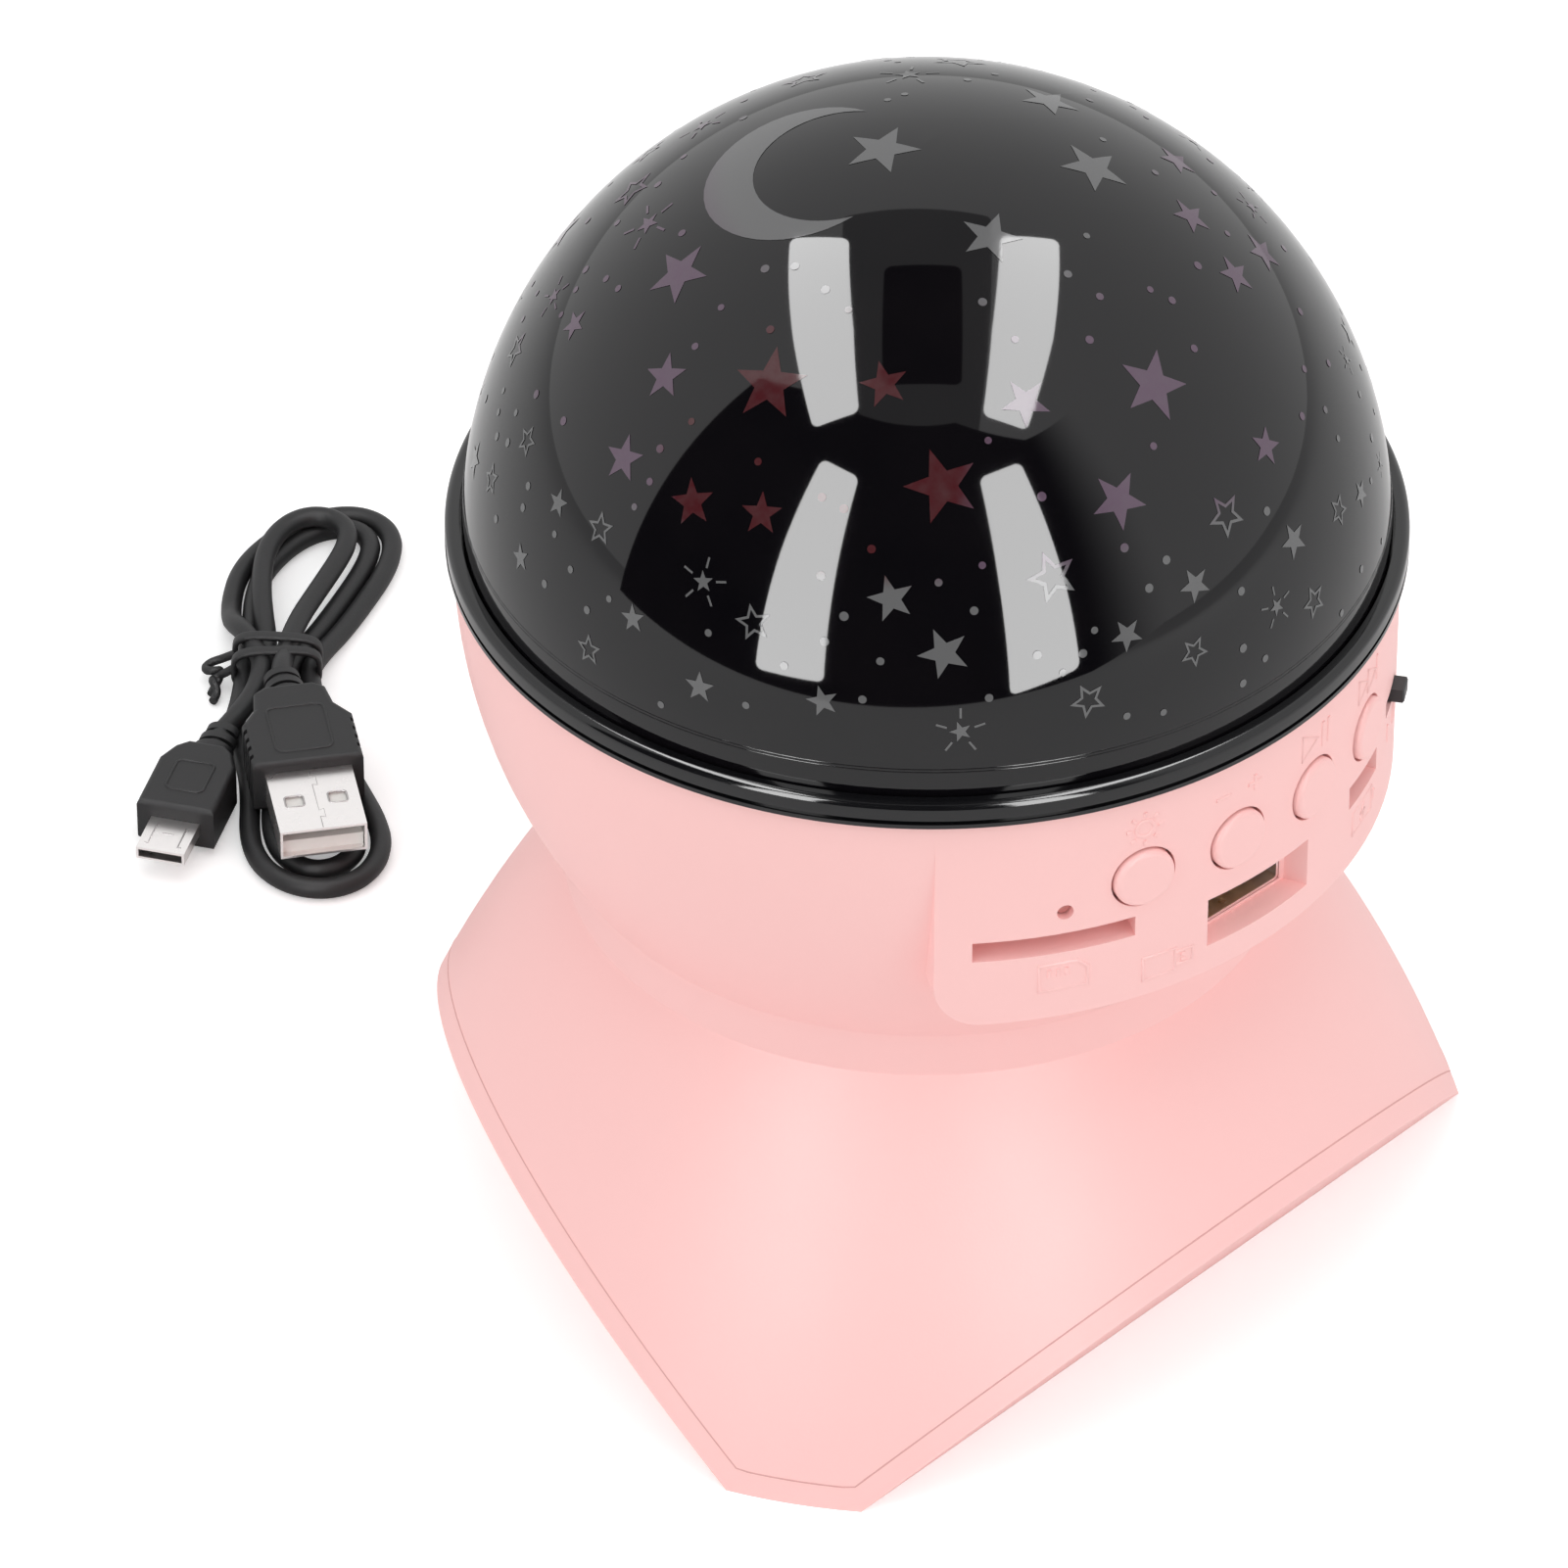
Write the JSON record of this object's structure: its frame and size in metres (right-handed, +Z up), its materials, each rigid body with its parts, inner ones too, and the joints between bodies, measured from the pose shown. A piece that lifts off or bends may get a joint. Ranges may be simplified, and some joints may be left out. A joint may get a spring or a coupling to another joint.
{
  "type": "star night light projector",
  "caption": "Bedside star projector with a smoked dome that turns on a pink bowl over a footed bell base, with panel buttons, sockets and a charging cable.",
  "frame": {"origin": "on the lamp axis in the plane of the base", "axes": "+Z up along the dome axis; the control panel faces -Y"},
  "size_m": [0.1356, 0.2213, 0.1633],
  "materials": {
    "pink_body": "fine satin moulded plastic, pale pink",
    "screw_steel": "zinc plated",
    "pin_steel": "polished steel",
    "cell_wrap": "heat shrink sleeve",
    "white_plastic": "moulded",
    "white_nylon": "moulded natural nylon",
    "black_rubber": "matte black soft plastic",
    "socket_steel": "folded nickel plated steel",
    "tan_plastic": "moulded",
    "gold_contacts": "plated",
    "smoked_dome": "smoked gloss plastic with clear star shapes",
    "gloss_black": "polished",
    "grey_rubber": "soft",
    "green_board": "solder mask",
    "white_board": "solder mask",
    "led_lens": "clear lens",
    "frosted_plastic": "frosted",
    "black_plastic": "moulded",
    "motor_case": "drawn steel can",
    "speaker_paper": "coated paper",
    "grey_foam": "foam",
    "magnet_steel": "sintered"
  },
  "bodies": {
    "base": {"base_cover": "pink_body", "base_screws": "screw_steel", "battery_cell": "cell_wrap", "battery_cradle": "white_plastic", "board_screws": "screw_steel", "board_spacers": "pin_steel", "bowl_housing": "pink_body", "cable_tie": "black_rubber", "card_reader": "socket_steel", "charging_cable": "black_rubber", "deck_plate": "white_plastic", "deck_screws": "screw_steel", "foot_pads": "grey_rubber", "housing_screws": "screw_steel", "key_board": "green_board", "led_lamps": "led_lens", "light_board": "white_board", "light_diffuser": "frosted_plastic", "light_pipe": "frosted_plastic", "light_post": "white_plastic", "main_board": "green_board", "micro_plug_body": "black_rubber", "micro_plug_shell": "socket_steel", "micro_usb_socket": "socket_steel", "motor": "motor_case", "motor_screws": "screw_steel", "pedestal_shell": "pink_body", "roller_pins": "pin_steel", "slide_switch_body": "socket_steel", "speaker_cone": "speaker_paper", "speaker_frame": "black_plastic", "speaker_gasket": "grey_foam", "speaker_magnet": "magnet_steel", "tact_switches": "socket_steel", "usb_contacts": "gold_contacts", "usb_plug_body": "black_rubber", "usb_plug_insert": "white_plastic", "usb_plug_shell": "socket_steel", "usb_socket_shell": "socket_steel", "usb_socket_tongue": "tan_plastic"},
    "dome": {"dome_shell": "smoked_dome", "trim_ring": "gloss_black", "drive_gear": "white_nylon"},
    "pinion": {"motor_pinion": "white_nylon", "motor_shaft": "pin_steel"},
    "roller_1": {"guide_roller_1": "white_nylon"},
    "roller_2": {"guide_roller_2": "white_nylon"},
    "roller_3": {"guide_roller_3": "white_nylon"},
    "light_key": {"light_button": "pink_body", "light_plunger": "black_plastic"},
    "dimmer_key": {"dimmer_button": "pink_body", "dimmer_plunger": "black_plastic"},
    "play_key": {"play_button": "pink_body", "play_plunger": "black_plastic"},
    "skip_key": {"skip_button": "pink_body", "skip_plunger": "black_plastic"},
    "switch": {"switch_knob": "black_plastic"}
  },
  "joints": [
    {"name": "dome_spin", "type": "hinge", "parent": "base", "child": "dome", "pos_m": [0, 0, 0.1], "axis": [0, 0, 1], "continuous": true},
    {"name": "pinion_spin", "type": "hinge", "parent": "base", "child": "pinion", "pos_m": [0, 0.0384, 0.1], "axis": [0, 0, 1], "continuous": true},
    {"name": "roller_1_spin", "type": "hinge", "parent": "base", "child": "roller_1", "pos_m": [0, -0.0454, 0.0978], "axis": [0, 0, 1], "continuous": true},
    {"name": "roller_2_spin", "type": "hinge", "parent": "base", "child": "roller_2", "pos_m": [0.03932, 0.0227, 0.0978], "axis": [0, 0, 1], "continuous": true},
    {"name": "roller_3_spin", "type": "hinge", "parent": "base", "child": "roller_3", "pos_m": [-0.03932, 0.0227, 0.0978], "axis": [0, 0, 1], "continuous": true},
    {"name": "light_press", "type": "slide", "parent": "base", "child": "light_key", "axis": [0.3473, 0.9377, 0], "range_m": [0, 0.0006], "stiffness_N_per_m": 800, "springref_m": -0.0003},
    {"name": "dimmer_press", "type": "slide", "parent": "base", "child": "dimmer_key", "axis": [0.118, 0.993, 0], "range_m": [0, 0.0006], "stiffness_N_per_m": 800, "springref_m": -0.0003},
    {"name": "play_press", "type": "slide", "parent": "base", "child": "play_key", "axis": [-0.118, 0.993, 0], "range_m": [0, 0.0006], "stiffness_N_per_m": 800, "springref_m": -0.0003},
    {"name": "skip_press", "type": "slide", "parent": "base", "child": "skip_key", "axis": [-0.3473, 0.9377, 0], "range_m": [0, 0.0006], "stiffness_N_per_m": 800, "springref_m": -0.0003},
    {"name": "switch_slide", "type": "slide", "parent": "base", "child": "switch", "axis": [-0.848, -0.5299, 0], "range_m": [0, 0.003]}
  ],
  "couplings": [
    {"joint": "pinion_spin", "follows": "dome_spin", "ratio": 5},
    {"joint": "roller_1_spin", "follows": "dome_spin", "ratio": 10.1},
    {"joint": "roller_2_spin", "follows": "dome_spin", "ratio": 10.1},
    {"joint": "roller_3_spin", "follows": "dome_spin", "ratio": 10.1}
  ]
}
